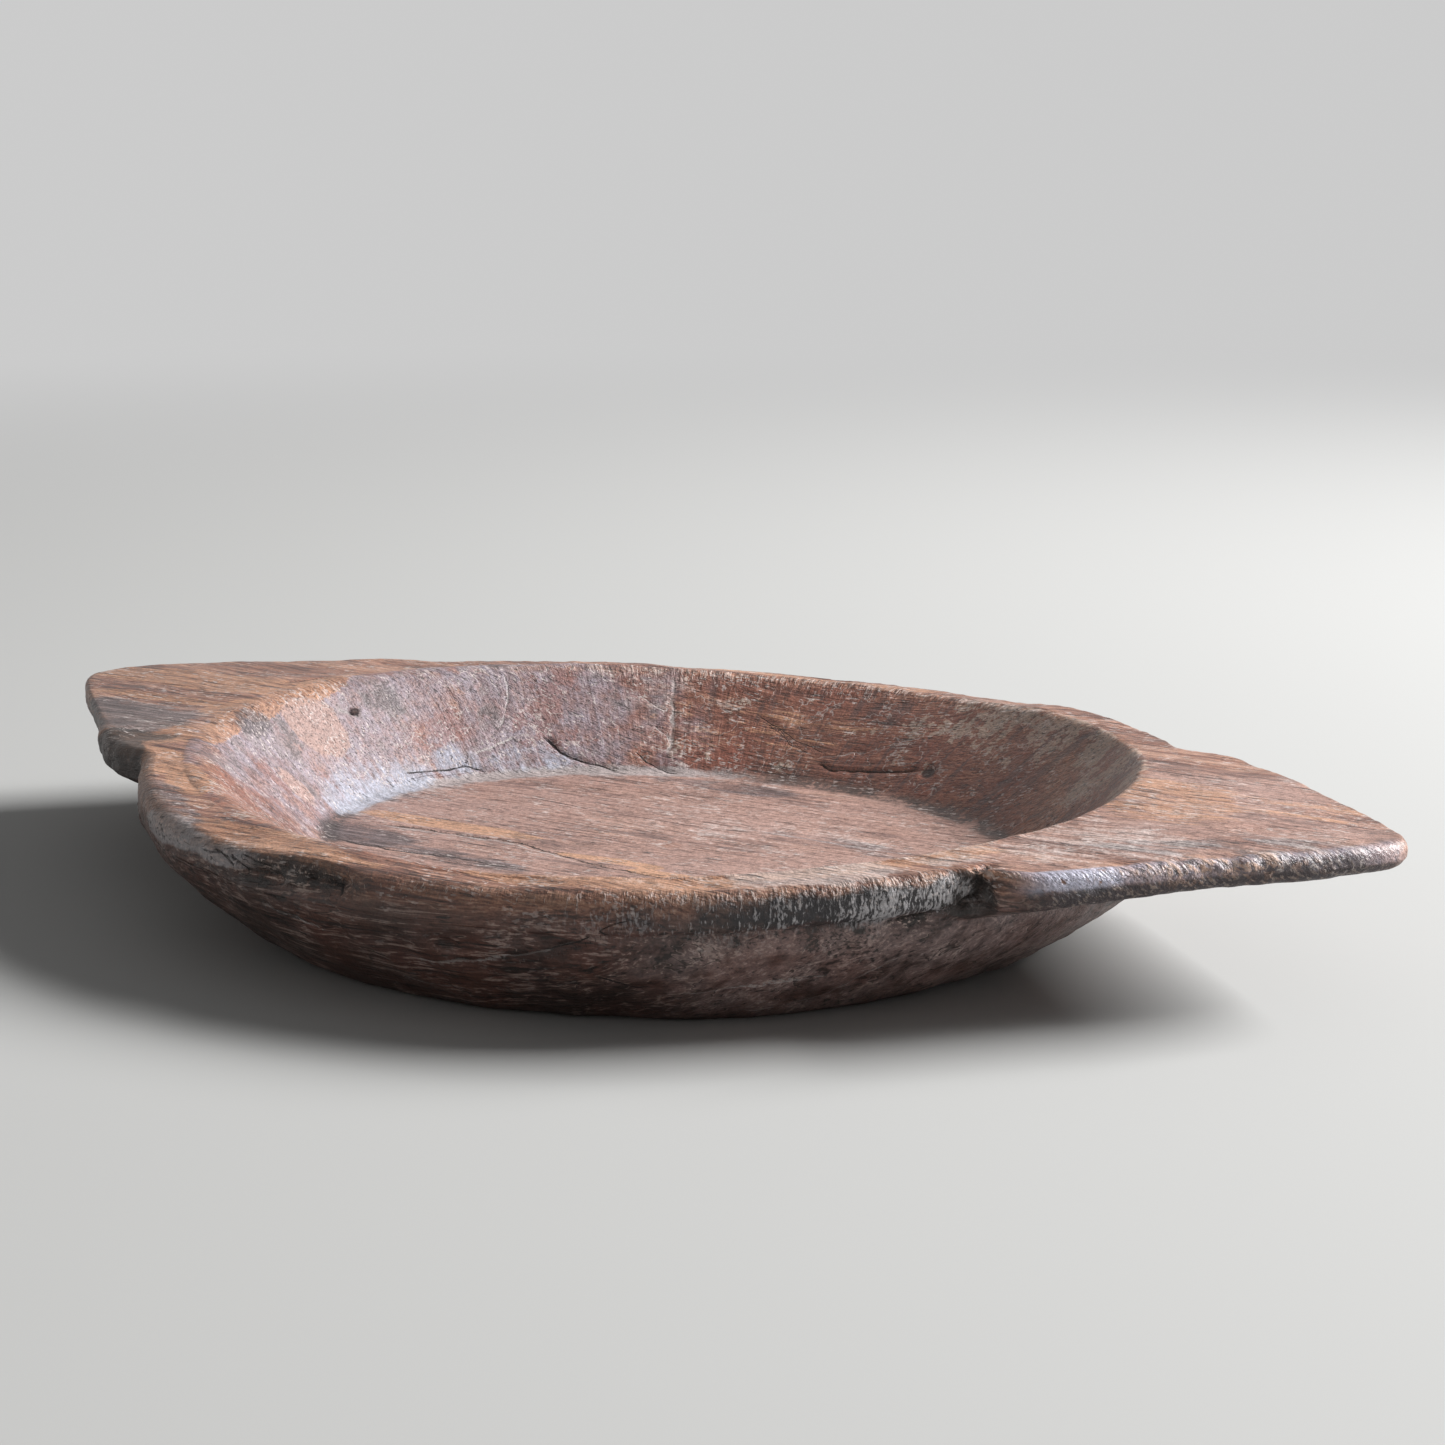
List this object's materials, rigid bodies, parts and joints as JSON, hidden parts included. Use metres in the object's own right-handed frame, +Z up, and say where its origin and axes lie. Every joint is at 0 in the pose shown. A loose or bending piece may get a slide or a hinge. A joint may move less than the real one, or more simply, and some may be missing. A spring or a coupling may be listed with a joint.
{
  "type": "dough bowl",
  "caption": "Shallow round dough bowl carved from one hardwood plank, with a flat floor, sloping walls and two pointed lug handles at rim level.",
  "frame": {"origin": "bottom centre of the bowl's bounding box, on the surface that the bowl stands on", "axes": "+X along the two lug handles and the grain, +Z up out of the bowl's mouth"},
  "size_m": [0.5426, 0.344, 0.0562],
  "materials": {
    "wood": "old oiled hardwood, satin, with worn edges, tool marks and pale scuffs"
  },
  "bodies": {
    "root": {"dough_bowl": "wood"}
  },
  "joints": []
}
